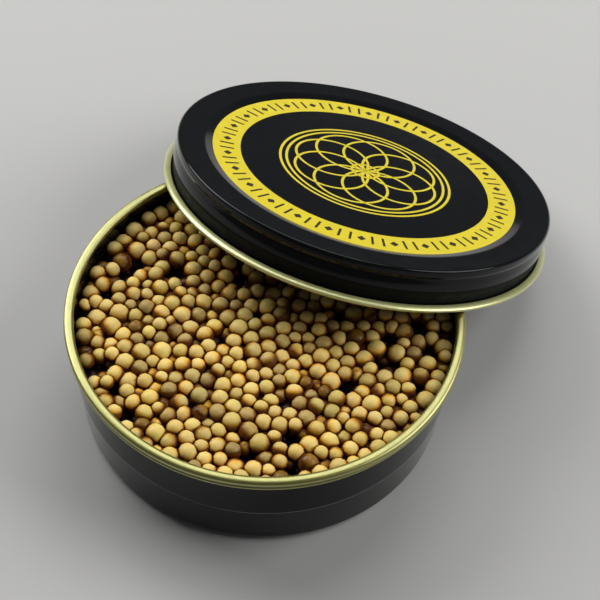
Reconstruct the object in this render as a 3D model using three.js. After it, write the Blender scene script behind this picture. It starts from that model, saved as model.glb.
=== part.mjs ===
// A round tin filled with osetra caviar, its slip-on lid leaning on the rim. Millimetres, +Z up.
// The origin is the centre of the tin's flat bottom, and the lid leans away along +Y.
import * as THREE from "three";

// The tin: a drawn cup with a rolled rim, and a step in its wall where the closed lid ends.
const TIN_HEIGHT = 22.5;
const RIM_RADIUS = 35.0;
const RIM_ROLL_WIDTH = 1.7;
const RIM_ROLL_HEIGHT = 1.9;
const TIN_SHEET = 0.35;
const WALL_RADIUS = 33.6;
const STEP_TOP = 10.8;
const STEP_DROP = 1.0;
const STEP_IN = 0.7;
const BOTTOM_CORNER = 2.0;

// The lid, with heights from the middle plane of its rolled edge.
const LID_HEIGHT = 7.5;
const LID_RADIUS = 36.0;
const LID_SHEET = 0.35;
const LID_ROLL_RADIUS = 36.6;
const LID_ROLL_WIDTH = 1.2;
const LID_ROLL_HEIGHT = 1.06;
const LID_NECK_RADIUS = 35.6;
const LID_NECK_TOP = 1.1;
const LID_BULGE_LOW = 2.6;
const LID_BULGE_HIGH = 4.6;
const LID_CREASE_RADIUS = 35.78;
const LID_CREASE_HEIGHT = 5.75;
const LID_SHOULDER = 0.45;
const PANEL_RADIUS = 29.3;
const PANEL_SLOPE = 1.4;
const PANEL_DEPTH = 0.75;

// How the lid leans: its tilt, and how far the middle of its rolled edge lies from the tin's axis.
const LID_TILT = THREE.MathUtils.degToRad(23.5);
const LID_REACH = 36.3;

// The caviar: a core that fills the tin, with the eggs of its top layer on it.
const EGG_RADIUS = 1.48;
const EGG_SPREAD = 0.14;
const EGG_COUNT = 330;
const EGG_SIDES = 6;
const EGG_CLEARANCE = 0.1;
const EGG_TOPS_BELOW_RIM = 3.2;
const HEAP_UNEVENNESS = 0.35;
const SHOULDER_LATITUDE = THREE.MathUtils.degToRad(46);
const RELAX_ROUNDS = 160;
const SEED = 48611;

const FIT_GAP = 0.3;
const SEGMENTS = 48;
const TAU = Math.PI * 2;

function finish(name, color, roughness, metalness) {
  return new THREE.MeshStandardMaterial({ name, color, roughness, metalness });
}

const tinLacquer = finish("black lacquer with a gold rim", 0x0c0d0e, 0.2, 0.0);
const lidLacquer = finish("black lacquered lid", 0x121415, 0.2, 0.0);
const roe = finish("osetra roe", 0xcaa56a, 0.35, 0.0);

// A seeded generator, so that every build lays the eggs in the same places.
function seededRandom(seed) {
  let state = seed;
  return () => {
    state = (state * 48271) % 2147483647;
    return state / 2147483647;
  };
}

// Points of an elliptical arc in the profile plane, at equal steps of angle.
function arc(centreRadius, centreHeight, halfWidth, halfHeight, fromDegrees, toDegrees, steps) {
  const points = [];
  for (let i = 0; i <= steps; i += 1) {
    const angle = THREE.MathUtils.degToRad(fromDegrees + ((toDegrees - fromDegrees) * i) / steps);
    const radius = centreRadius + halfWidth * Math.cos(angle);
    const height = centreHeight + halfHeight * Math.sin(angle);
    points.push([radius, height]);
  }
  return points;
}

// Turns a profile of [radius, height] pairs about +Z. It starts low on the axis and ends on it.
function turned(profile) {
  const points = profile.map(([radius, height]) => new THREE.Vector2(radius, height));
  return new THREE.LatheGeometry(points, SEGMENTS).rotateX(Math.PI / 2);
}

function tinGeometry() {
  const lowWall = WALL_RADIUS - STEP_IN;
  const rollMiddle = TIN_HEIGHT - RIM_ROLL_HEIGHT / 2;
  const rollCentre = RIM_RADIUS - RIM_ROLL_WIDTH / 2;
  const rollFoot = TIN_HEIGHT - RIM_ROLL_HEIGHT;
  const corner = lowWall - BOTTOM_CORNER;
  const inside = WALL_RADIUS - TIN_SHEET;
  const lowInside = lowWall - TIN_SHEET;
  const innerCorner = BOTTOM_CORNER - TIN_SHEET;
  return turned([
    [0, 0],
    ...arc(corner, BOTTOM_CORNER, BOTTOM_CORNER, BOTTOM_CORNER, -90, 0, 2),
    [lowWall, STEP_TOP - STEP_DROP],
    [WALL_RADIUS - STEP_IN / 5, STEP_TOP - STEP_DROP / 2],
    [WALL_RADIUS, STEP_TOP],
    [WALL_RADIUS, rollFoot + 0.1],
    ...arc(rollCentre, rollMiddle, RIM_ROLL_WIDTH / 2, RIM_ROLL_HEIGHT / 2, -90, 180, 6),
    [inside, rollFoot],
    [inside, STEP_TOP],
    [lowInside, STEP_TOP - STEP_DROP],
    ...arc(corner, BOTTOM_CORNER, innerCorner, innerCorner, 0, -90, 2),
    [0, TIN_SHEET],
  ]);
}

function lidGeometry() {
  const panelTop = LID_HEIGHT - PANEL_DEPTH;
  const neckInside = LID_NECK_RADIUS - LID_SHEET;
  const bulgeInside = LID_RADIUS - LID_SHEET;
  const halfWidth = LID_ROLL_WIDTH / 2;
  const halfHeight = LID_ROLL_HEIGHT / 2;
  const groove = (LID_NECK_RADIUS + LID_ROLL_RADIUS - halfWidth) / 2;
  return turned([
    [0, panelTop - LID_SHEET],
    [PANEL_RADIUS + LID_SHEET / 2, panelTop - LID_SHEET],
    [PANEL_RADIUS + PANEL_SLOPE + LID_SHEET / 2, LID_HEIGHT - LID_SHEET],
    [LID_RADIUS - LID_SHOULDER - LID_SHEET, LID_HEIGHT - LID_SHEET],
    [LID_CREASE_RADIUS - LID_SHEET, LID_HEIGHT - LID_SHOULDER - LID_SHEET],
    [bulgeInside, LID_BULGE_LOW],
    [neckInside, LID_NECK_TOP],
    [neckInside, -halfHeight / 2],
    ...arc(LID_ROLL_RADIUS, 0, halfWidth, halfHeight, -90, 150, 5),
    [groove, 0],
    [LID_NECK_RADIUS, LID_NECK_TOP],
    [LID_RADIUS, LID_BULGE_LOW],
    [LID_RADIUS, LID_BULGE_HIGH],
    [LID_CREASE_RADIUS, LID_CREASE_HEIGHT],
    [LID_RADIUS, LID_CREASE_HEIGHT + LID_SHOULDER],
    ...arc(LID_RADIUS - LID_SHOULDER, LID_HEIGHT - LID_SHOULDER, LID_SHOULDER, LID_SHOULDER, 0, 90, 2),
    [PANEL_RADIUS + PANEL_SLOPE, LID_HEIGHT],
    [PANEL_RADIUS, panelTop],
    [0, panelTop],
  ]);
}

// Spreads the eggs over the tin's mouth: random places, pushed apart until they are even.
function eggPlaces(random, reach) {
  const spacing = Math.sqrt((Math.PI * reach * reach * 2) / (EGG_COUNT * Math.sqrt(3)));
  const places = [];
  for (let i = 0; i < EGG_COUNT; i += 1) {
    const distance = reach * Math.sqrt(random());
    const angle = TAU * random();
    places.push(new THREE.Vector2(distance * Math.cos(angle), distance * Math.sin(angle)));
  }
  const apart = new THREE.Vector2();
  for (let round = 0; round < RELAX_ROUNDS; round += 1) {
    for (let i = 0; i < EGG_COUNT; i += 1) {
      for (let j = i + 1; j < EGG_COUNT; j += 1) {
        apart.subVectors(places[i], places[j]);
        const distance = apart.length();
        if (distance < spacing) {
          apart.setLength((spacing - distance) * 0.4);
          places[i].add(apart);
          places[j].sub(apart);
        }
      }
    }
    places.forEach((place) => place.clampLength(0, reach));
  }
  return places;
}

function nearestDistance(place, places) {
  const distances = places.filter((other) => other !== place).map((other) => other.distanceTo(place));
  return Math.min(...distances);
}

// The heap is one closed skin: the floor and side of the core, its top, and a dome for each egg.
function caviarGeometry() {
  const random = seededRandom(SEED);
  const coreRadius = WALL_RADIUS - TIN_SHEET - FIT_GAP;
  const lowRadius = coreRadius - STEP_IN;
  const corner = BOTTOM_CORNER - TIN_SHEET;
  const floor = TIN_SHEET + FIT_GAP;
  const eggLevel = TIN_HEIGHT - EGG_TOPS_BELOW_RIM - EGG_RADIUS;
  const places = eggPlaces(random, coreRadius - EGG_RADIUS - EGG_SPREAD - EGG_CLEARANCE);
  const positions = [];
  const index = [];
  const addVertex = (x, y, z) => positions.push(x, y, z) / 3 - 1;
  const addRing = (x, y, z, radius, sides, turn) => {
    const ring = [];
    for (let i = 0; i < sides; i += 1) {
      const angle = turn + (TAU * i) / sides;
      ring.push(addVertex(x + radius * Math.cos(angle), y + radius * Math.sin(angle), z));
    }
    return ring;
  };
  const joinRings = (low, high) => {
    for (let i = 0; i < low.length; i += 1) {
      const next = (i + 1) % low.length;
      index.push(low[i], low[next], high[i], low[next], high[next], high[i]);
    }
  };
  const capRing = (ring, tip) => {
    for (let i = 0; i < ring.length; i += 1) index.push(ring[i], ring[(i + 1) % ring.length], tip);
  };

  const profile = [
    [lowRadius - corner, floor],
    [lowRadius, floor + corner],
    [lowRadius, STEP_TOP - STEP_DROP],
    [coreRadius, STEP_TOP],
    [coreRadius, eggLevel],
  ];
  const rings = profile.map(([radius, height]) => addRing(0, 0, height, radius, SEGMENTS, 0));
  for (let i = 0; i + 1 < rings.length; i += 1) joinRings(rings[i], rings[i + 1]);
  capRing([...rings[0]].reverse(), addVertex(0, 0, floor));

  const feet = places.map((place) => {
    const room = nearestDistance(place, places) - EGG_CLEARANCE;
    const radius = Math.min(EGG_RADIUS + EGG_SPREAD * (2 * random() - 1), room / 2);
    const middle = eggLevel + HEAP_UNEVENNESS * (2 * random() - 1);
    const turn = TAU * random();
    const halfTurn = turn + Math.PI / EGG_SIDES;
    const shoulderRadius = radius * Math.cos(SHOULDER_LATITUDE);
    const shoulderHeight = middle + radius * Math.sin(SHOULDER_LATITUDE);
    const foot = addRing(place.x, place.y, eggLevel, radius, EGG_SIDES, turn);
    const shoulder = addRing(place.x, place.y, shoulderHeight, shoulderRadius, EGG_SIDES, halfTurn);
    joinRings(foot, shoulder);
    capRing(shoulder, addVertex(place.x, place.y, middle + radius));
    return foot;
  });

  const flat = (ring) => ring.map((v) => new THREE.Vector2(positions[3 * v], positions[3 * v + 1]));
  const edge = rings[rings.length - 1];
  const corners = [...edge, ...feet.flat()];
  const points = flat(corners);
  for (const [a, b, c] of THREE.ShapeUtils.triangulateShape(flat(edge), feet.map(flat))) {
    const facesUp = THREE.ShapeUtils.area([points[a], points[b], points[c]]) > 0;
    index.push(corners[a], corners[facesUp ? b : c], corners[facesUp ? c : b]);
  }
  const geometry = new THREE.BufferGeometry();
  geometry.setAttribute("position", new THREE.Float32BufferAttribute(positions, 3));
  geometry.setIndex(index);
  geometry.computeVertexNormals();
  return geometry;
}

function named(name, geometry, surface) {
  const mesh = new THREE.Mesh(geometry, surface);
  mesh.name = name;
  return mesh;
}

const tin = named("tin", tinGeometry(), tinLacquer);
const caviar = named("caviar", caviarGeometry(), roe);

// The lid tips down away from the tin, until the low point of its edge is on the table.
const lid = named("lid", lidGeometry(), lidLacquer);
lid.rotation.x = -LID_TILT;
lid.position.y = LID_REACH;
lid.updateMatrixWorld(true);
lid.position.z = -new THREE.Box3().setFromObject(lid, true).min.z;

const group = new THREE.Group();
group.name = "tin_of_caviar";
group.add(tin, caviar, lid);

export default group;
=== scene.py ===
import math

import bpy
import numpy as np
from bpy.props import FloatProperty, FloatVectorProperty, IntProperty, PointerProperty
from mathutils import Matrix, Vector


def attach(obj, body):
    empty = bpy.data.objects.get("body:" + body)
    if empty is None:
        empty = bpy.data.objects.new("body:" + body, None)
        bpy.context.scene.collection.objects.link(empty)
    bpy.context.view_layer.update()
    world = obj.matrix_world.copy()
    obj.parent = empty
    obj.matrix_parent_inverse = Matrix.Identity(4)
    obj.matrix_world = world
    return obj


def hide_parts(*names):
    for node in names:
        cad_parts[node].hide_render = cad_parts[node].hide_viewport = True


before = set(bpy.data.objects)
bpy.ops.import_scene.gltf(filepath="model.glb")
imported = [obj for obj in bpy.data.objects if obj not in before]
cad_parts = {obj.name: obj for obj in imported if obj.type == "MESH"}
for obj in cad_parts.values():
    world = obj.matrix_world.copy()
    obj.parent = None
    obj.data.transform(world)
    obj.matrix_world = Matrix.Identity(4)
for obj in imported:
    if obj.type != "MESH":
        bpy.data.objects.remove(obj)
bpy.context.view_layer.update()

bl_info = {
    "name": "Caviar tin",
    "version": (1, 0, 0),
    "blender": (4, 5, 0),
    "location": "View3D > Sidebar > Caviar tin",
    "description": "A round lacquered tin of osetra caviar with its slip-on lid leaning on the rim",
    "category": "Object",
}

MM = 0.001
BODY = "root"

# Facets round a turned piece
WALL_STEPS = 160
RIM_STEPS = 200
BED_STEPS = 96

# Share of pale and of olive eggs, the rest are brown
PALE_SHARE = 0.85
OLIVE_SHARE = 0.10

# Each soft light: name, place in metres, diameter in metres, power in watts
LIGHTS = [
    ("left_light", (-0.56, 0.19, 0.45), 0.55, 3.65),
    ("right_light", (0.51, 0.28, 0.45), 0.55, 2.95),
    ("top_light", (-0.13, 0.42, 0.67), 0.54, 2.0),
]
LIGHT_AIM = (0.0, 0.03, 0.01)
FLOOR_SIZE = 16.0
FLOOR_GAP = 0.02 * MM
SENSOR = 36.0


# Sizes and colours that a user would change

class TinSettings(bpy.types.PropertyGroup):
    """The tin: a drawn cup with a rolled rim"""

    height: FloatProperty(
        name="Height", description="From the table to the top of the rolled rim",
        default=22.5 * MM, unit="LENGTH", precision=4)
    rim_radius: FloatProperty(
        name="Rim radius", description="Outer radius of the rolled rim",
        default=35.0 * MM, unit="LENGTH", precision=4)
    wall_radius: FloatProperty(
        name="Wall radius", description="Outer radius of the wall above its step",
        default=33.6 * MM, unit="LENGTH", precision=4)
    sheet: FloatProperty(
        name="Sheet", description="Thickness of the tinplate",
        default=0.35 * MM, unit="LENGTH", precision=5)
    step_top: FloatProperty(
        name="Step height", description="Height of the step where the closed lid ends",
        default=10.8 * MM, unit="LENGTH", precision=4)
    step_in: FloatProperty(
        name="Step depth", description="How far the lower wall is set in",
        default=0.7 * MM, unit="LENGTH", precision=5)
    lacquer: FloatVectorProperty(
        name="Lacquer", description="Colour of the black lacquer",
        default=(0.0045, 0.005, 0.0055), subtype="COLOR", min=0.0, max=1.0)
    gold: FloatVectorProperty(
        name="Gold", description="Colour of the gold lacquer on the rolled rim",
        default=(0.34, 0.325, 0.055), subtype="COLOR", min=0.0, max=1.0)


class LidSettings(bpy.types.PropertyGroup):
    """The lid: a shallow slip-on cap that leans on the rim"""

    tilt: FloatProperty(
        name="Tilt", description="How far the lid leans back",
        default=math.radians(23.5), unit="ROTATION")
    reach: FloatProperty(
        name="Reach", description="From the tin's axis to the middle of the lid's edge",
        default=36.3 * MM, unit="LENGTH", precision=4)
    height: FloatProperty(
        name="Height", description="From the middle of the rolled edge to the top",
        default=7.5 * MM, unit="LENGTH", precision=4)
    radius: FloatProperty(
        name="Radius", description="Outer radius of the skirt",
        default=36.0 * MM, unit="LENGTH", precision=4)
    roll_radius: FloatProperty(
        name="Edge radius", description="Radius of the middle of the rolled edge",
        default=36.6 * MM, unit="LENGTH", precision=4)
    edge_half_width: FloatProperty(
        name="Edge half width", description="Half the width of the rolled edge",
        default=0.6 * MM, unit="LENGTH", precision=5)
    edge_half_height: FloatProperty(
        name="Edge half height", description="Height of the lower half of the rolled edge",
        default=0.53 * MM, unit="LENGTH", precision=5)
    neck_radius: FloatProperty(
        name="Neck radius", description="Radius of the undercut above the rolled edge",
        default=35.6 * MM, unit="LENGTH", precision=4)
    panel_radius: FloatProperty(
        name="Panel radius", description="Radius of the recessed panel",
        default=29.3 * MM, unit="LENGTH", precision=4)
    panel_depth: FloatProperty(
        name="Panel depth", description="How far the panel lies below the border",
        default=0.75 * MM, unit="LENGTH", precision=5)
    ring_inner: FloatProperty(
        name="Ring", description="Inner radius of the printed ring",
        default=24.0 * MM, unit="LENGTH", precision=4)
    mark_count: IntProperty(
        name="Marks", description="How many bars and lozenges stand on the ring, a multiple of three",
        default=84, min=3, max=300)
    petals: IntProperty(
        name="Petals", description="How many crossing circles make the rosette",
        default=8, min=3, max=24)
    edge_colour: FloatVectorProperty(
        name="Edge", description="Colour of the paler gold lacquer on the rolled edge",
        default=(0.70, 0.71, 0.31), subtype="COLOR", min=0.0, max=1.0)
    print_colour: FloatVectorProperty(
        name="Print", description="Colour of the printed ring and rosette",
        default=(0.765, 0.625, 0.027), subtype="COLOR", min=0.0, max=1.0)
    mark_colour: FloatVectorProperty(
        name="Mark colour", description="Colour of the marks on the printed ring",
        default=(0.03, 0.016, 0.006), subtype="COLOR", min=0.0, max=1.0)


class RoeSettings(bpy.types.PropertyGroup):
    """The caviar: whole eggs settled into the tin"""

    egg_radius: FloatProperty(
        name="Egg radius", description="Mean radius of an egg",
        default=1.39 * MM, unit="LENGTH", precision=5)
    spread: FloatProperty(
        name="Spread", description="How much the radii differ, as a share",
        default=0.11, min=0.0, max=0.3)
    count: IntProperty(
        name="Eggs", description="How many eggs are packed into the upper layers",
        default=1170, min=50, max=3000)
    depth: FloatProperty(
        name="Depth", description="Thickness of the layers of whole eggs",
        default=6.0 * MM, unit="LENGTH", precision=4)
    unevenness: FloatProperty(
        name="Unevenness", description="How much the egg tops differ in height",
        default=0.28 * MM, unit="LENGTH", precision=5)
    swell: FloatProperty(
        name="Swell", description="How far the eggs press into each other",
        default=1.13, min=1.0, max=1.2)
    pockets: FloatProperty(
        name="Pockets", description="Share of the top eggs that are missing",
        default=0.06, min=0.0, max=0.5)
    below_rim: FloatProperty(
        name="Below rim", description="How far the egg tops lie below the rim",
        default=2.75 * MM, unit="LENGTH", precision=4)
    seed: IntProperty(
        name="Seed", description="Seed of every random draw", default=48611)
    cream: FloatVectorProperty(
        name="Cream", description="Colour of the pale eggs",
        default=(0.84, 0.64, 0.21), subtype="COLOR", min=0.0, max=1.0)
    olive: FloatVectorProperty(
        name="Olive", description="Colour of the duller eggs",
        default=(0.52, 0.37, 0.12), subtype="COLOR", min=0.0, max=1.0)
    brown: FloatVectorProperty(
        name="Brown", description="Colour of the brown eggs",
        default=(0.29, 0.15, 0.02), subtype="COLOR", min=0.0, max=1.0)
    # Painted shade: the dark orange-brown laid on each egg's lower flanks and at its seams.
    flank_shade: FloatVectorProperty(
        name="Amber", description="Colour of an egg's flanks",
        default=(0.15, 0.045, 0.004), subtype="COLOR", min=0.0, max=1.0)
    # Painted shade: the near-black laid deep between the eggs and on the core below them.
    deep_shade: FloatVectorProperty(
        name="Brine", description="Colour deep between the eggs",
        default=(0.012, 0.003, 0.001), subtype="COLOR", min=0.0, max=1.0)


class StageSettings(bpy.types.PropertyGroup):
    """Floor, light and camera"""

    floor_colour: FloatVectorProperty(
        name="Floor", description="Colour of the floor",
        default=(0.55, 0.545, 0.53), subtype="COLOR", min=0.0, max=1.0)
    aim: FloatVectorProperty(
        name="Aim", description="Point that the camera looks at",
        default=(3.75 * MM, 5.73 * MM, 21.55 * MM), subtype="TRANSLATION", precision=5)
    elevation: FloatProperty(
        name="Elevation", description="Height of the camera above the horizon",
        default=math.radians(52.5), unit="ROTATION")
    azimuth: FloatProperty(
        name="Azimuth", description="Turn of the camera round the tin",
        default=math.radians(24.5), unit="ROTATION")
    roll: FloatProperty(
        name="Roll", description="Turn of the camera about its own axis",
        default=math.radians(4.4), unit="ROTATION")
    distance: FloatProperty(
        name="Distance", description="From the camera to the point it looks at",
        default=280.0 * MM, unit="LENGTH", precision=4)
    focal: FloatProperty(
        name="Focal length", description="Lens in millimetres on a 36 mm frame",
        default=95.5, min=1.0)


# Small helpers for modelling

def object_mode():
    """Leaves edit mode, if it is on."""
    if bpy.context.object and bpy.context.object.mode != "OBJECT":
        bpy.ops.object.mode_set(mode="OBJECT")


def deselect_all():
    """Leaves nothing selected for the next operator."""
    object_mode()
    bpy.ops.object.select_all(action="DESELECT")


def arc(centre_r, centre_z, half_r, half_z, start, end, steps, fullness=1.0):
    """Points of an elliptical arc in the profile plane, angles in degrees. Below 1 it is squarer."""
    points = []
    for a in np.radians(np.linspace(start, end, steps + 1)):
        across = math.copysign(abs(math.cos(a)) ** fullness, math.cos(a))
        along = math.copysign(abs(math.sin(a)) ** fullness, math.sin(a))
        points.append((centre_r + half_r * across, centre_z + half_z * along))
    return points


def ease(start, end, steps):
    """Points of a smooth S between two points, level with the axis at both ends."""
    points = []
    for t in np.linspace(0.0, 1.0, steps + 1):
        blend = 0.5 - 0.5 * math.cos(math.pi * t)
        points.append((start[0] + (end[0] - start[0]) * blend, start[1] + (end[1] - start[1]) * t))
    return points


def turned(name, profile, steps, closed=False):
    """Extrudes a profile of (radius, height) pairs from one vertex and spins it about the Z axis."""
    deselect_all()
    first = Vector((profile[0][0], 0.0, profile[0][1]))
    bpy.ops.mesh.primitive_plane_add(size=MM, location=(0.0, 0.0, 0.0))
    piece = bpy.context.object
    piece.name = name
    bpy.ops.object.mode_set(mode="EDIT")
    bpy.ops.mesh.select_all(action="SELECT")
    bpy.ops.mesh.merge(type="CENTER")
    bpy.ops.transform.translate(value=first)
    here = first
    for radius, height in profile[1:] + ([profile[0]] if closed else []):
        there = Vector((radius, 0.0, height))
        bpy.ops.mesh.extrude_region_move(TRANSFORM_OT_translate={"value": there - here})
        here = there
    bpy.ops.mesh.select_all(action="SELECT")
    bpy.ops.mesh.remove_doubles(threshold=1e-6)
    bpy.ops.mesh.spin(
        steps=steps, angle=math.tau, center=(0.0, 0.0, 0.0), axis=(0.0, 0.0, 1.0),
        use_auto_merge=True)
    bpy.ops.mesh.select_all(action="SELECT")
    bpy.ops.mesh.remove_doubles(threshold=1e-6)
    bpy.ops.mesh.normals_make_consistent(inside=False)
    bpy.ops.object.mode_set(mode="OBJECT")
    smooth(piece)
    return piece


def smooth(piece, angle=40.0):
    """Shades a piece smooth, except over edges sharper than the angle in degrees."""
    deselect_all()
    piece.select_set(True)
    bpy.context.view_layer.objects.active = piece
    bpy.ops.object.shade_smooth_by_angle(angle=math.radians(angle), keep_sharp_edges=True)


def apply_place(piece, location=(0.0, 0.0, 0.0), turn=(0.0, 0.0, 0.0)):
    """Moves and turns a piece, and puts its place into its mesh."""
    deselect_all()
    piece.select_set(True)
    bpy.context.view_layer.objects.active = piece
    piece.rotation_euler = turn
    piece.location = location
    bpy.ops.object.transform_apply(location=True, rotation=True, scale=True)


def join(pieces, name):
    """Joins pieces into one mesh."""
    deselect_all()
    for piece in pieces:
        piece.select_set(True)
    bpy.context.view_layer.objects.active = pieces[0]
    bpy.ops.object.join()
    joined = bpy.context.object
    joined.name = name
    return joined


def finish_piece(piece, material, node):
    """Gives a piece its material and its place in the frame."""
    piece.data.materials.clear()
    piece.data.materials.append(material)
    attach(piece, BODY)
    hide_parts(node)


# Small helpers for materials

def new_material(name):
    """A new material, with its node tree and its main shader."""
    material = bpy.data.materials.new(name)
    material.use_nodes = True
    tree = material.node_tree
    return material, tree, tree.nodes["Principled BSDF"]


def add_node(tree, kind, **inputs):
    """A new node with numbers set on its inputs, an underscore for each space in their names."""
    node = tree.nodes.new(kind)
    for key, value in inputs.items():
        node.inputs[key.replace("_", " ")].default_value = value
    return node


def noise(tree, scale, detail=3.0, roughness=0.5):
    """A noise in the piece's own coordinates, about 1/scale metres across."""
    place = tree.nodes.new("ShaderNodeTexCoord")
    texture = add_node(tree, "ShaderNodeTexNoise", Scale=scale, Detail=detail, Roughness=roughness)
    tree.links.new(place.outputs["Object"], texture.inputs["Vector"])
    return texture.outputs["Fac"]


def spread_between(tree, value, low, high):
    """Maps a noise, which keeps mostly between 0.3 and 0.7, to a range of values."""
    spread = add_node(
        tree, "ShaderNodeMapRange", From_Min=0.3, From_Max=0.7, To_Min=low, To_Max=high)
    tree.links.new(value, spread.inputs["Value"])
    return spread.outputs["Result"]


def mix_colours(tree, factor, first, second):
    """Mixes two colours, each a colour value or another node's output."""
    mix = tree.nodes.new("ShaderNodeMix")
    mix.data_type = "RGBA"
    sockets = [s for s in mix.inputs if s.type == "RGBA"]
    for socket, colour in zip(sockets, (first, second)):
        if isinstance(colour, bpy.types.NodeSocket):
            tree.links.new(colour, socket)
        else:
            socket.default_value = (*colour, 1.0)
    tree.links.new(factor, mix.inputs["Factor"])
    return next(s for s in mix.outputs if s.type == "RGBA")


def channel(tree, layer, which):
    """One channel of a colour attribute."""
    attribute = tree.nodes.new("ShaderNodeVertexColor")
    attribute.layer_name = layer
    split = tree.nodes.new("ShaderNodeSeparateColor")
    tree.links.new(attribute.outputs["Color"], split.inputs["Color"])
    return split.outputs[which]


def rise(tree, value, low, high, start=0.0, end=1.0):
    """Goes smoothly from start to end as the value goes from low to high."""
    step = add_node(
        tree, "ShaderNodeMapRange", From_Min=low, From_Max=high, To_Min=start, To_Max=end)
    step.interpolation_type = "SMOOTHSTEP"
    tree.links.new(value, step.inputs["Value"])
    return step.outputs["Result"]


def times(tree, first, second):
    """The product of two values."""
    product = tree.nodes.new("ShaderNodeMath")
    product.operation = "MULTIPLY"
    tree.links.new(first, product.inputs[0])
    tree.links.new(second, product.inputs[1])
    return product.outputs["Value"]


def clouded(tree, colour, scale, detail, darker, lighter):
    """A colour that drifts between a darker and a lighter shade of itself."""
    dark = tuple(part * darker for part in colour)
    light = tuple(min(1.0, part * lighter) for part in colour)
    return mix_colours(tree, noise(tree, scale, detail), dark, light)


def set_roughness(tree, shader, scale, detail, low, high):
    """Lets the roughness drift between two values."""
    uneven = spread_between(tree, noise(tree, scale, detail), low, high)
    tree.links.new(uneven, shader.inputs["Roughness"])


def add_bump(tree, shader, scale, distance, strength):
    """Adds fine relief from a noise, with the distance in metres."""
    bump = add_node(tree, "ShaderNodeBump", Distance=distance, Strength=strength)
    tree.links.new(noise(tree, scale, 2.0), bump.inputs["Height"])
    tree.links.new(bump.outputs["Normal"], shader.inputs["Normal"])


# Materials

def black_lacquer(name, colour, ior):
    """Baked black lacquer: glossy, with a faint orange peel and a few dull patches."""
    material, tree, shader = new_material(name)
    shader.inputs["IOR"].default_value = ior
    shader.inputs["Coat Weight"].default_value = 1.0
    shader.inputs["Coat IOR"].default_value = ior
    shader.inputs["Coat Roughness"].default_value = 0.07
    tree.links.new(clouded(tree, colour, 90.0, 4.0, 0.7, 1.5), shader.inputs["Base Color"])
    set_roughness(tree, shader, 420.0, 5.0, 0.09, 0.15)
    add_bump(tree, shader, 1300.0, 0.012 * MM, 0.5)
    return material


def lacquer_with_highlight_line(name, colour, ior, line_height):
    """Black lacquer with a painted highlight: a thin pale line along the step of the wall, broken up
    by a noise.
    """
    material = black_lacquer(name, colour, ior)
    tree = material.node_tree
    base = tree.nodes["Principled BSDF"].inputs["Base Color"]
    # Painted highlight: the grey of a thin line along the step, where the rounded step catches the
    # light.
    highlight_grey = (0.15, 0.15, 0.165)
    middle = line_height - 0.125 * MM
    core, faded = 0.025 * MM, 0.325 * MM
    place = tree.nodes.new("ShaderNodeTexCoord")
    split = tree.nodes.new("ShaderNodeSeparateXYZ")
    tree.links.new(place.outputs["Object"], split.inputs["Vector"])
    above = rise(tree, split.outputs["Z"], middle - faded, middle - core)
    below = rise(tree, split.outputs["Z"], middle + core, middle + faded, 1.0, 0.0)
    # A noise breaks the painted highlight line into pieces.
    broken_up = rise(tree, noise(tree, 130.0, 3.0), 0.3, 0.62, 0.25, 1.0)
    line = times(tree, times(tree, above, below), broken_up)
    tree.links.new(mix_colours(tree, line, base.links[0].from_socket, highlight_grey), base)
    return material


def matt_lacquer(name, colour):
    """The same lacquer where the rolling tool has dulled it."""
    material, tree, shader = new_material(name)
    tree.links.new(clouded(tree, colour, 300.0, 4.0, 0.7, 1.5), shader.inputs["Base Color"])
    set_roughness(tree, shader, 900.0, 3.0, 0.5, 0.65)
    shader.inputs["Specular IOR Level"].default_value = 0.1
    return material


def gold_lacquer(name, colour, metallic):
    """Gold lacquer on bright tinplate, drawn thin and uneven round the rolled edge."""
    material, tree, shader = new_material(name)
    shader.inputs["Metallic"].default_value = metallic
    shader.inputs["Coat Weight"].default_value = 1.0
    shader.inputs["Coat Roughness"].default_value = 0.3
    shader.inputs["Coat IOR"].default_value = 1.9
    olive = (colour[0] * 0.80, colour[1] * 0.82, colour[2] * 0.6)
    tone = mix_colours(tree, spread_between(tree, noise(tree, 160.0, 3.0), 0.0, 0.5), colour, olive)
    tree.links.new(tone, shader.inputs["Base Color"])
    set_roughness(tree, shader, 700.0, 3.0, 0.32, 0.42)
    add_bump(tree, shader, 2600.0, 0.006 * MM, 0.25)
    return material


def printed_colour(name, colour, roughness):
    """Printing ink on the lacquer: an even colour with a slight mottle."""
    material, tree, shader = new_material(name)
    tree.links.new(clouded(tree, colour, 520.0, 4.0, 0.86, 1.08), shader.inputs["Base Color"])
    set_roughness(tree, shader, 900.0, 3.0, roughness - 0.05, roughness + 0.08)
    add_bump(tree, shader, 1800.0, 0.01 * MM, 0.4)
    return material


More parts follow.
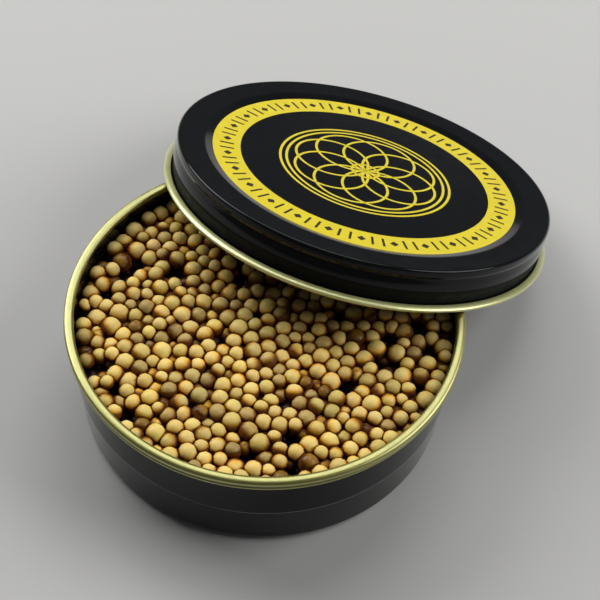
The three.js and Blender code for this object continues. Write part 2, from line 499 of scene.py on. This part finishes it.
def roe_skin(name, roe, roughness):
    """Egg surface with painted light and shade: a pale lit cap that goes through a painted half shade
    to dark orange-brown shade round the flanks and at the seams, and to near-black painted shade deep
    down.
    """
    material, tree, shader = new_material(name)
    tint = tree.nodes.new("ShaderNodeVertexColor")
    tint.layer_name = "tint"
    # A darker, richer copy of each egg's tint, used as painted half shade.
    half_shade = add_node(tree, "ShaderNodeGamma", Gamma=2.5)
    tree.links.new(tint.outputs["Color"], half_shade.inputs["Color"])
    # Painted light: the cap is pale where the egg faces up; the flanks below take painted shade.
    cap = rise(tree, channel(tree, "shade_mask", "Red"), 0.45, 0.93)
    # Painted shade along the seams where eggs touch.
    lit_off_seam = rise(tree, channel(tree, "shade_mask", "Green"), 0.45, 1.0, 1.0, 0.25)
    # Painted shade that grows with depth below the top eggs.
    shallow = rise(tree, channel(tree, "shade_mask", "Blue"), 0.10, 0.46, 1.0, 0.0)
    deep = rise(tree, channel(tree, "shade_mask", "Blue"), 0.26, 0.60)
    mottle = spread_between(tree, noise(tree, 800.0, 3.0), 0.8, 1.0)
    pale = times(tree, times(tree, cap, lit_off_seam), times(tree, shallow, mottle))
    # The painted shade colour: dark orange-brown on the flanks, near-black deep down.
    shade_colour = mix_colours(tree, deep, tuple(roe.flank_shade), tuple(roe.deep_shade))
    shaded_blend = mix_colours(tree, rise(tree, pale, 0.04, 0.54), shade_colour, half_shade.outputs["Color"])
    tone = mix_colours(tree, rise(tree, pale, 0.36, 0.92), shaded_blend, tint.outputs["Color"])
    tree.links.new(tone, shader.inputs["Base Color"])
    shader.inputs["Subsurface Weight"].default_value = 0.6
    shader.inputs["Subsurface Radius"].default_value = (1.0, 0.6, 0.2)
    shader.inputs["Subsurface Scale"].default_value = 0.6 * MM
    shader.inputs["Specular IOR Level"].default_value = 0.24
    set_roughness(tree, shader, 1400.0, 3.0, roughness - 0.06, roughness + 0.1)
    add_bump(tree, shader, 2200.0, 0.02 * MM, 0.5)
    return material


def roe_bed(name, colour):
    """The core under the deeper eggs, in near-black painted shade that shows through the pockets
    between the eggs above.
    """
    material, tree, shader = new_material(name)
    tree.links.new(clouded(tree, colour, 450.0, 4.0, 0.5, 2.0), shader.inputs["Base Color"])
    set_roughness(tree, shader, 700.0, 3.0, 0.45, 0.7)
    shader.inputs["Specular IOR Level"].default_value = 0.15
    return material


def floor_finish(name, colour):
    """A plain pale floor without gloss."""
    material, tree, shader = new_material(name)
    tree.links.new(clouded(tree, colour, 6.0, 4.0, 0.97, 1.02), shader.inputs["Base Color"])
    shader.inputs["Roughness"].default_value = 0.75
    shader.inputs["Specular IOR Level"].default_value = 0.2
    return material


# Profiles, as (radius, height) pairs

def tin_wall_profile(tin):
    """The cup from the middle of its floor, out and up the outside, and back down the inside."""
    low = tin.wall_radius - tin.step_in
    corner = 2.0 * MM
    inner_corner = corner - tin.sheet
    groove = 0.5 * MM
    groove_in, groove_out = 26.4 * MM, 28.6 * MM
    top = tin.height - 0.9 * MM
    step_low = tin.step_top - 1.3 * MM
    ring = [(groove_in, 0.0), (groove_in + groove, groove)]
    ring += [(groove_out - groove, groove), (groove_out, 0.0)]
    outside = [(0.0, 0.0)] + ring
    outside += arc(low - corner, corner, corner, corner, -90, 0, 8)
    outside += ease((low, step_low), (tin.wall_radius, tin.step_top), 9)
    outside += [(tin.wall_radius, tin.step_top + 0.5 * MM), (tin.wall_radius, top)]
    inside = [(tin.wall_radius - 0.2 * MM, top), (tin.wall_radius - tin.sheet, top - 1.2 * MM)]
    inside += ease((tin.wall_radius - tin.sheet, tin.step_top), (low - tin.sheet, step_low), 6)
    inside += arc(low - corner, corner, inner_corner, inner_corner, 0, -90, 6)
    inside += [(r, z + tin.sheet) for r, z in reversed(ring)]
    inside += [(0.0, tin.sheet)]
    return outside + inside


def tin_rim_profile(tin):
    """The rolled rim: a fat roll over a small hem, round the top of the wall."""
    half_width, half_height = 0.88 * MM, 0.65 * MM
    roll_r, roll_z = tin.rim_radius - half_width, tin.height - half_height
    hem_r, hem_z = tin.rim_radius - 0.68 * MM, tin.height - 1.72 * MM
    points = arc(roll_r, roll_z, half_width, half_height, 180, -66, 26, 0.8)
    points += arc(hem_r, hem_z, 0.60 * MM, 0.44 * MM, 72, -105, 14)
    points += [(tin.wall_radius - 0.05 * MM, hem_z - 0.25 * MM)]
    points += [(tin.wall_radius - 0.1 * MM, hem_z + 0.3 * MM)]
    return points


def lid_shell_profile(lid, sheet):
    """The lid from the underside of its panel, down inside the skirt, and up the outside."""
    panel = lid.height - lid.panel_depth
    border = lid.height - 0.2 * MM
    slope_end = lid.panel_radius + 1.4 * MM
    neck = lid.neck_radius
    crease = lid.radius - 0.24 * MM
    shoulder = 0.45 * MM
    turn_r, turn_z = lid.radius - shoulder, lid.height - shoulder
    inside = [(0.0, panel - sheet), (lid.panel_radius + 0.1 * MM, panel - sheet)]
    inside += [(slope_end + 0.1 * MM, lid.height - sheet)]
    inside += arc(turn_r - sheet, turn_z - sheet, shoulder, shoulder, 90, 0, 4)
    inside += [(crease - sheet, 5.7 * MM), (lid.radius - sheet, 4.2 * MM)]
    inside += [(lid.radius - sheet, 3.0 * MM), (neck - sheet, 1.1 * MM)]
    inside += [(neck - sheet, -0.1 * MM), (neck - 0.2 * MM, -0.34 * MM)]
    outside = [(neck + 0.6 * MM, -0.2 * MM), (neck + 0.55 * MM, 0.05 * MM)]
    outside += [(neck + 0.25 * MM, 0.12 * MM), (neck + 0.06 * MM, 0.32 * MM)]
    outside += [(neck, 0.7 * MM), (neck, 1.0 * MM)]
    outside += ease((neck + 0.02 * MM, 1.2 * MM), (lid.radius, 3.4 * MM), 6)
    outside += [(lid.radius, 4.2 * MM), (lid.radius - 0.06 * MM, 4.9 * MM), (crease, 5.55 * MM)]
    outside += [(crease, 5.75 * MM), (lid.radius - 0.02 * MM, 6.05 * MM), (lid.radius, 6.3 * MM)]
    outside += arc(turn_r, turn_z, shoulder, shoulder, 0, 90, 7)
    outside += [(turn_r - 0.15 * MM, lid.height - 0.01 * MM)]
    outside += [(slope_end + 0.7 * MM, border + 0.01 * MM), (slope_end + 0.3 * MM, border)]
    outside += [(slope_end, border - 0.05 * MM), (lid.panel_radius + 0.2 * MM, panel + 0.06 * MM)]
    outside += [(lid.panel_radius - 0.05 * MM, panel), (lid.panel_radius - 0.3 * MM, panel)]
    outside += [(0.0, panel)]
    return inside + outside


def lid_groove_profile(lid):
    """A thin matt strip over the undercut between the skirt and the rolled edge."""
    low, high, neck = 0.75 * MM, 3.3 * MM, lid.neck_radius
    back = neck - 0.08 * MM
    front = [(neck + 0.03 * MM, low), (neck + 0.03 * MM, 1.05 * MM)]
    front += ease((neck + 0.05 * MM, 1.25 * MM), (lid.radius + 0.01 * MM, high), 6)
    return front + [(lid.radius - 0.1 * MM, high), (back, 1.1 * MM), (back, low)]


def lid_rim_profile(lid):
    """The rolled edge: an ellipse below, and a broad round back that swells outwards above."""
    half, low = lid.edge_half_width, lid.edge_half_height
    upper = arc(lid.roll_radius - 0.92 * half, 0.0, 1.92 * half, 0.56 * MM, 93, 0, 14, 1.1)
    lower = arc(lid.roll_radius, 0.0, half, low, -9, -180, 19)
    return upper + lower + [(lid.roll_radius - half, 0.42 * MM)]


def bed_profile(tin, roe):
    """The core under the whole eggs, a little inside the cup."""
    gap = 0.3 * MM
    wall = tin.wall_radius - tin.sheet - gap
    low = wall - tin.step_in
    corner = 1.65 * MM
    floor = tin.sheet + gap
    top = tin.height - roe.below_rim - 3.9 * MM
    points = [(0.0, 1.2 * MM)] + arc(low - corner, floor + corner, corner, corner, -70, 0, 5)
    points += ease((low, tin.step_top - 1.3 * MM), (wall, tin.step_top), 5)
    return points + [(wall, top - 0.3 * MM), (wall - 0.3 * MM, top), (0.0, top)]


def lid_lift(lid):
    """Height of the middle of the lid's edge when its far end touches the table."""
    sine, cosine = math.sin(lid.tilt), math.cos(lid.tilt)
    below = math.hypot(lid.edge_half_width * sine, lid.edge_half_height * cosine)
    return lid.roll_radius * sine + below


def lean(piece, lid):
    """Tips a piece that was made upright with the lid, and puts it in the lid's place."""
    apply_place(piece, (0.0, lid.reach, lid_lift(lid)), (-lid.tilt, 0.0, 0.0))


# Operators: the tin

class CAVIAR_OT_tin_wall(bpy.types.Operator):
    """Draw the black cup of the tin"""

    bl_idname = "caviar.tin_wall"
    bl_label = "Tin wall"

    def execute(self, context):
        tin = context.scene.caviar_tin
        piece = turned("tin_wall", tin_wall_profile(tin), WALL_STEPS)
        # The wall's lacquer carries a painted highlight line along its step.
        look = lacquer_with_highlight_line("black_wall", tuple(tin.lacquer), 1.15, tin.step_top)
        finish_piece(piece, look, "tin")
        return {"FINISHED"}


class CAVIAR_OT_tin_rim(bpy.types.Operator):
    """Roll the gold rim over the top of the wall"""

    bl_idname = "caviar.tin_rim"
    bl_label = "Tin rim"

    def execute(self, context):
        tin = context.scene.caviar_tin
        piece = turned("tin_rim", tin_rim_profile(tin), RIM_STEPS, closed=True)
        look = gold_lacquer("gold_varnish", tuple(tin.gold), 0.9)
        finish_piece(piece, look, "tin")
        return {"FINISHED"}


# Operators: the lid

class CAVIAR_OT_lid_shell(bpy.types.Operator):
    """Draw the black cap of the lid with its matt undercut, and lean it on the rim"""

    bl_idname = "caviar.lid_shell"
    bl_label = "Lid shell"

    def execute(self, context):
        tin, lid = context.scene.caviar_tin, context.scene.caviar_lid
        piece = turned("lid_shell", lid_shell_profile(lid, tin.sheet), RIM_STEPS)
        lean(piece, lid)
        look = black_lacquer("black_enamel", tuple(tin.lacquer), 1.2)
        finish_piece(piece, look, "lid")
        groove = turned("lid_groove", lid_groove_profile(lid), RIM_STEPS, closed=True)
        lean(groove, lid)
        look = matt_lacquer("black_matt", tuple(tin.lacquer))
        finish_piece(groove, look, "lid")
        return {"FINISHED"}


class CAVIAR_OT_lid_rim(bpy.types.Operator):
    """Roll the gold edge of the lid"""

    bl_idname = "caviar.lid_rim"
    bl_label = "Lid rim"

    def execute(self, context):
        lid = context.scene.caviar_lid
        piece = turned("lid_rim", lid_rim_profile(lid), RIM_STEPS, closed=True)
        lean(piece, lid)
        look = gold_lacquer("pale_varnish", tuple(lid.edge_colour), 0.6)
        finish_piece(piece, look, "lid")
        return {"FINISHED"}


class CAVIAR_OT_lid_print(bpy.types.Operator):
    """Print the yellow ring, its dark bars and lozenges, and a rosette of circles on the lid"""

    bl_idname = "caviar.lid_print"
    bl_label = "Lid print"

    def execute(self, context):
        lid = context.scene.caviar_lid
        panel = lid.height - lid.panel_depth
        yellow = printed_colour("print_yellow", tuple(lid.print_colour), 0.34)
        dark = printed_colour("print_dark", tuple(lid.mark_colour), 0.4)
        ring = self.ring(lid.ring_inner, lid.panel_radius, panel)
        lean(ring, lid)
        finish_piece(ring, yellow, "lid")
        marks = self.marks(lid.mark_count, lid.ring_inner + 2.6 * MM, panel + 0.02 * MM)
        lean(marks, lid)
        finish_piece(marks, dark, "lid")
        rosette = self.rosette(lid.petals, panel)
        lean(rosette, lid)
        finish_piece(rosette, yellow, "lid")
        return {"FINISHED"}

    def ring(self, inner, outer, height):
        """A flat ring that stands a hair above the panel, with its edges broken."""
        edge = 0.02 * MM
        low, high = height - 0.02 * MM, height + 0.03 * MM
        profile = [(inner, low), (outer, low), (outer, high - edge), (outer - edge, high)]
        profile += [(inner + edge, high), (inner, high - edge)]
        return turned("lid_ring", profile, RIM_STEPS, closed=True)

    def marks(self, count, radius, height):
        """A border of bead and reel: pairs of short bars with a lozenge between them."""
        thickness = 0.05 * MM
        bar_length, bar_width, lozenge = 2.7 * MM, 0.46 * MM, 1.15 * MM
        pieces = []
        for i in range(count):
            deselect_all()
            bpy.ops.mesh.primitive_cube_add(size=1.0, location=(radius, 0.0, height))
            piece = bpy.context.object
            if i % 3 == 2:
                piece.rotation_euler = (0.0, 0.0, math.radians(45.0))
                piece.scale = (lozenge, lozenge, thickness)
            else:
                piece.scale = (bar_length, bar_width, thickness)
            bpy.ops.object.transform_apply(location=True, rotation=True, scale=True)
            apply_place(piece, (0.0, 0.0, 0.0), (0.0, 0.0, math.tau * i / count))
            pieces.append(piece)
        return join(pieces, "lid_marks")

    def rosette(self, petals, height):
        """Thin circles that all pass through the middle, inside two rings and round a small one."""
        line, flat = 0.26 * MM, 0.2
        petal = 7.0 * MM
        pieces = []
        circles = [(petal, petal, math.tau * i / petals) for i in range(petals)]
        circles += [(0.0, radius, 0.0) for radius in (15.2 * MM, 16.4 * MM, 2.6 * MM)]
        for offset, radius, angle in circles:
            deselect_all()
            bpy.ops.mesh.primitive_torus_add(
                major_radius=radius, minor_radius=line, major_segments=96, minor_segments=6,
                location=(offset * math.cos(angle), offset * math.sin(angle), height))
            piece = bpy.context.object
            piece.scale = (1.0, 1.0, flat)
            bpy.ops.object.transform_apply(location=True, rotation=True, scale=True)
            pieces.append(piece)
        return join(pieces, "lid_rosette")


# The caviar

def close_pairs(place, radii, margin):
    """Pairs of eggs that touch or nearly touch."""
    square = (place ** 2).sum(axis=1)
    gap = square[:, None] + square[None, :] - 2.0 * place @ place.T
    reach = radii[:, None] + radii[None, :] + margin
    return np.nonzero(np.triu(gap < reach ** 2, 1))


def pack(radii, cup_radius, depth, unevenness, draw):
    """Packs the eggs into a shallow round layer, pushing them apart until they rest on each other."""
    count = len(radii)
    distance = (cup_radius - radii) * np.sqrt(draw.random(count))
    angle = math.tau * draw.random(count)
    height = radii + (depth - 2.0 * radii) * draw.random(count)
    place = np.stack([distance * np.cos(angle), distance * np.sin(angle), height], axis=1)
    ceiling = depth - radii + unevenness * draw.normal(0.0, 1.0, count).clip(-2.0, 1.2)
    rounds, rounds_per_search = 400, 8
    nearby, shake, firmness = 0.6 * MM, 0.05 * MM, 0.4
    for turn in range(rounds):
        left = 1.0 - turn / rounds
        if turn % rounds_per_search == 0:
            first, second = close_pairs(place, radii, nearby)
            touching = radii[first] + radii[second]
        place += draw.normal(0.0, shake * max(0.0, left - 0.4), place.shape)
        apart = place[first] - place[second]
        length = np.maximum(np.linalg.norm(apart, axis=1), 1e-9)
        push = apart * (firmness * np.maximum(touching - length, 0.0) / length)[:, None]
        for axis in range(3):
            place[:, axis] += np.bincount(first, push[:, axis], count)
            place[:, axis] -= np.bincount(second, push[:, axis], count)
        reach = np.hypot(place[:, 0], place[:, 1])
        over = np.minimum(1.0, (cup_radius - radii) / np.maximum(reach, 1e-9))
        place[:, :2] *= over[:, None]
        place[:, 2] = place[:, 2].clip(radii, ceiling)
    return place


def master_egg(cuts):
    """A round egg: a cube, subdivided and cast to a sphere of radius 1."""
    deselect_all()
    bpy.ops.mesh.primitive_cube_add(size=2.0, location=(0.0, 0.0, 0.0))
    egg = bpy.context.object
    bpy.ops.object.mode_set(mode="EDIT")
    bpy.ops.mesh.select_all(action="SELECT")
    bpy.ops.mesh.subdivide(number_cuts=cuts)
    bpy.ops.object.mode_set(mode="OBJECT")
    cast = egg.modifiers.new("round", "CAST")
    cast.cast_type = "SPHERE"
    cast.factor = 1.0
    bpy.ops.object.modifier_apply(modifier=cast.name)
    points = np.array([v.co[:] for v in egg.data.vertices])
    points /= np.linalg.norm(points, axis=1)[:, None]
    faces = np.array([p.vertices[:] for p in egg.data.polygons])
    bpy.data.objects.remove(egg, do_unlink=True)
    return points, faces


def joined_eggs(name, points, faces, layers):
    """One mesh of many eggs, with colour attributes for their tints and their painted shade."""
    per_egg = points.shape[1]
    mesh = bpy.data.meshes.new(name)
    every_face = (faces[None] + per_egg * np.arange(len(points))[:, None, None]).reshape(-1, 4)
    mesh.from_pydata(points.reshape(-1, 3).tolist(), [], every_face.tolist())
    for key, values in layers.items():
        layer = mesh.color_attributes.new(key, "FLOAT_COLOR", "POINT")
        flat = np.concatenate([values.reshape(-1, 3), np.ones((values.size // 3, 1))], axis=1)
        layer.data.foreach_set("color", flat.ravel())
    mesh.polygons.foreach_set("use_smooth", [True] * len(mesh.polygons))
    mesh.update()
    piece = bpy.data.objects.new(name, mesh)
    bpy.context.collection.objects.link(piece)
    return piece


class CAVIAR_OT_eggs(bpy.types.Operator):
    """Pack the eggs into the tin, press them together and tint them"""

    bl_idname = "caviar.eggs"
    bl_label = "Eggs"

    def execute(self, context):
        tin, roe = context.scene.caviar_tin, context.scene.caviar_roe
        draw = np.random.default_rng(roe.seed)
        radii = roe.egg_radius * (1.0 + roe.spread * draw.normal(0.0, 1.0, roe.count).clip(-2.0, 2.0))
        cup = tin.wall_radius - tin.sheet - 0.1 * MM
        place = pack(radii, cup, roe.depth, roe.unevenness, draw)
        place[:, 2] += tin.height - roe.below_rim - roe.depth
        top = tin.height - roe.below_rim
        on_top = place[:, 2] > top - 2.6 * radii
        kept = ~(on_top & (draw.random(len(radii)) < roe.pockets))
        place, radii = place[kept], radii[kept]
        round_points, faces = master_egg(cuts=2)
        points, shade_masks = self.press(round_points, place, radii * roe.swell, cup, top, draw)
        tints, kind = self.tints(len(radii), roe, draw)
        for k, name in enumerate(("roe_pale", "roe_olive", "roe_brown")):
            own = kind == k
            every_tint = np.repeat(tints[own][:, None, :], points.shape[1], axis=1)
            layers = {"tint": every_tint, "shade_mask": shade_masks[own]}
            piece = joined_eggs(name, points[own], faces, layers)
            look = roe_skin(name + "_skin", roe, 0.36 - 0.05 * k)
            finish_piece(piece, look, "caviar")
        return {"FINISHED"}

    def press(self, round_points, place, radii, cup, top, draw):
        """Flattens each egg where it meets its neighbours.

        The three shade values say how far a point faces up, how near it is to a seam between
        two eggs, and how deep it lies; they drive painted light on the cap and painted shade on the
        flanks, at the seams and deep down.
        """
        count = len(radii)
        seam_gap, full_depth = 0.008 * MM, 5.0 * MM
        points = np.empty((count, len(round_points), 3))
        shade_masks = np.empty((count, len(round_points), 3))
        first, second = close_pairs(place, radii, 0.0)
        for i in range(count):
            stretch = 1.0 + draw.normal(0.0, 0.025, 3).clip(-0.05, 0.05)
            shape = round_points * stretch * radii[i]
            seam = np.zeros(len(shape))
            for j in np.concatenate([second[first == i], first[second == i]]):
                between = place[j] - place[i]
                gap = np.linalg.norm(between)
                direction = between / gap
                limit = (gap ** 2 + radii[i] ** 2 - radii[j] ** 2) / (2.0 * gap) - seam_gap
                along = shape @ direction
                soft = 0.03 * radii[i]
                pressed = limit - soft * np.logaddexp(0.0, (limit - along) / soft)
                shape += (pressed - along)[:, None] * direction
                away = ((limit - along) / (0.3 * radii[i])).clip(0.0, 1.0)
                seam = np.maximum(seam, 1.0 - away)
            spot = shape + place[i]
            reach = np.hypot(spot[:, 0], spot[:, 1])
            spot[:, :2] *= np.minimum(1.0, cup / np.maximum(reach, 1e-9))[:, None]
            # The pale cap faces mostly up, as painted light from above; its random tilt per egg also
            # gives some eggs a real dark crescent.
            cap = np.append(draw.normal(0.0, 0.36, 2), 1.0)
            cap /= np.linalg.norm(cap)
            points[i] = spot
            shade_masks[i, :, 0] = 0.5 + 0.5 * round_points @ cap + draw.normal(-0.02, 0.04)
            shade_masks[i, :, 1] = seam
            shade_masks[i, :, 2] = ((top - spot[:, 2]) / full_depth).clip(0.0, 1.0)
        return points, shade_masks

    def tints(self, count, roe, draw):
        """The colour of each egg's pale side, and its kind: pale, olive or brown."""
        chance = draw.random(count)
        kind = (chance >= PALE_SHARE).astype(int) + (chance >= PALE_SHARE + OLIVE_SHARE)
        looks = np.array([tuple(roe.cream), tuple(roe.olive), tuple(roe.brown)])
        hue_spread = np.array([0.012, 0.013, 0.055])
        hue = 1.0 + draw.normal(0.0, 1.0, (count, 3)).clip(-1.6, 1.6) * hue_spread
        level = 1.0 + draw.normal(0.0, 0.12, (count, 1)).clip(-0.3, 0.1)
        return (looks[kind] * hue * level).clip(0.003, 0.95), kind


class CAVIAR_OT_bed(bpy.types.Operator):
    """Fill the tin below the eggs that show"""

    bl_idname = "caviar.bed"
    bl_label = "Bed of roe"

    def execute(self, context):
        tin, roe = context.scene.caviar_tin, context.scene.caviar_roe
        piece = turned("roe_bed", bed_profile(tin, roe), BED_STEPS)
        # The core takes the near-black painted shade colour.
        finish_piece(piece, roe_bed("roe_bed", tuple(roe.deep_shade)), "caviar")
        return {"FINISHED"}


# The stage

class CAVIAR_OT_stage(bpy.types.Operator):
    """Lay the pale floor, hang the soft lights and set the camera"""

    bl_idname = "caviar.stage"
    bl_label = "Stage"

    def execute(self, context):
        stage = context.scene.caviar_stage
        self.floor(stage)
        for name, place, size, power in LIGHTS:
            self.light(name, place, size, power)
        self.world(context.scene)
        self.camera(context.scene, stage)
        context.scene.view_settings.view_transform = "Standard"
        return {"FINISHED"}

    def floor(self, stage):
        """One wide plane just under the tin."""
        deselect_all()
        bpy.ops.mesh.primitive_plane_add(size=FLOOR_SIZE, location=(0.0, 0.0, -FLOOR_GAP))
        floor = bpy.context.object
        floor.name = "floor"
        floor.data.materials.append(floor_finish("pale_floor", tuple(stage.floor_colour)))

    def light(self, name, place, size, power):
        """A round soft light that points at the tin and stays out of the picture."""
        deselect_all()
        bpy.ops.object.light_add(type="AREA", location=place)
        light = bpy.context.object
        light.name = name
        light.data.shape = "DISK"
        light.data.size = size
        light.data.energy = power
        light.visible_camera = False
        aim = Vector(LIGHT_AIM) - Vector(place)
        light.rotation_euler = aim.to_track_quat("-Z", "Y").to_euler()

    def world(self, scene):
        """A dim even light from all round."""
        world = bpy.data.worlds.new("studio")
        world.use_nodes = True
        background = world.node_tree.nodes["Background"]
        background.inputs["Color"].default_value = (0.93, 0.95, 1.0, 1.0)
        background.inputs["Strength"].default_value = 0.08
        scene.world = world

    def camera(self, scene, stage):
        """Sets the camera at the photo's angle."""
        deselect_all()
        aim = Vector(stage.aim)
        level = Vector((-math.sin(stage.azimuth), math.cos(stage.azimuth), 0.0))
        right = Vector((math.cos(stage.azimuth), math.sin(stage.azimuth), 0.0))
        ahead = level * math.cos(stage.elevation) - Vector((0.0, 0.0, math.sin(stage.elevation)))
        up = right.cross(ahead)
        side = right * math.cos(stage.roll) + up * math.sin(stage.roll)
        top = up * math.cos(stage.roll) - right * math.sin(stage.roll)
        place = aim - ahead * stage.distance
        bpy.ops.object.camera_add()
        camera = bpy.context.object
        camera.name = "camera"
        turn = Matrix((side, top, -ahead)).transposed().to_4x4()
        camera.matrix_world = Matrix.Translation(place) @ turn
        camera.data.sensor_width = SENSOR
        camera.data.lens = stage.focal
        camera.data.clip_start = 0.01
        scene.camera = camera


# The panel that lists the operators, and the settings

ORDER = [
    CAVIAR_OT_stage,
    CAVIAR_OT_tin_wall,
    CAVIAR_OT_tin_rim,
    CAVIAR_OT_lid_shell,
    CAVIAR_OT_lid_rim,
    CAVIAR_OT_lid_print,
    CAVIAR_OT_bed,
    CAVIAR_OT_eggs,
]
SETTINGS = {
    "caviar_tin": TinSettings,
    "caviar_lid": LidSettings,
    "caviar_roe": RoeSettings,
    "caviar_stage": StageSettings,
}


class CAVIAR_PT_panel(bpy.types.Panel):
    """Lists the steps and the settings of the caviar tin"""

    bl_idname = "CAVIAR_PT_panel"
    bl_label = "Caviar tin"
    bl_space_type = "VIEW_3D"
    bl_region_type = "UI"
    bl_category = "Caviar tin"

    def draw(self, context):
        layout = self.layout
        for step in ORDER:
            layout.operator(step.bl_idname)
        for name, group in SETTINGS.items():
            box = layout.box()
            settings = getattr(context.scene, name)
            for key in group.__annotations__:
                box.prop(settings, key)


def register():
    for settings in SETTINGS.values():
        bpy.utils.register_class(settings)
    for name, settings in SETTINGS.items():
        setattr(bpy.types.Scene, name, PointerProperty(type=settings))
    for operator in ORDER:
        bpy.utils.register_class(operator)
    bpy.utils.register_class(CAVIAR_PT_panel)


def unregister():
    bpy.utils.unregister_class(CAVIAR_PT_panel)
    for operator in reversed(ORDER):
        bpy.utils.unregister_class(operator)
    for name in SETTINGS:
        delattr(bpy.types.Scene, name)
    for settings in reversed(list(SETTINGS.values())):
        bpy.utils.unregister_class(settings)


def main():
    """Makes the pieces in order through their operators."""
    register()
    for operator in ORDER:
        group, name = operator.bl_idname.split(".")
        getattr(getattr(bpy.ops, group), name)()


if __name__ == "__main__":
    main()
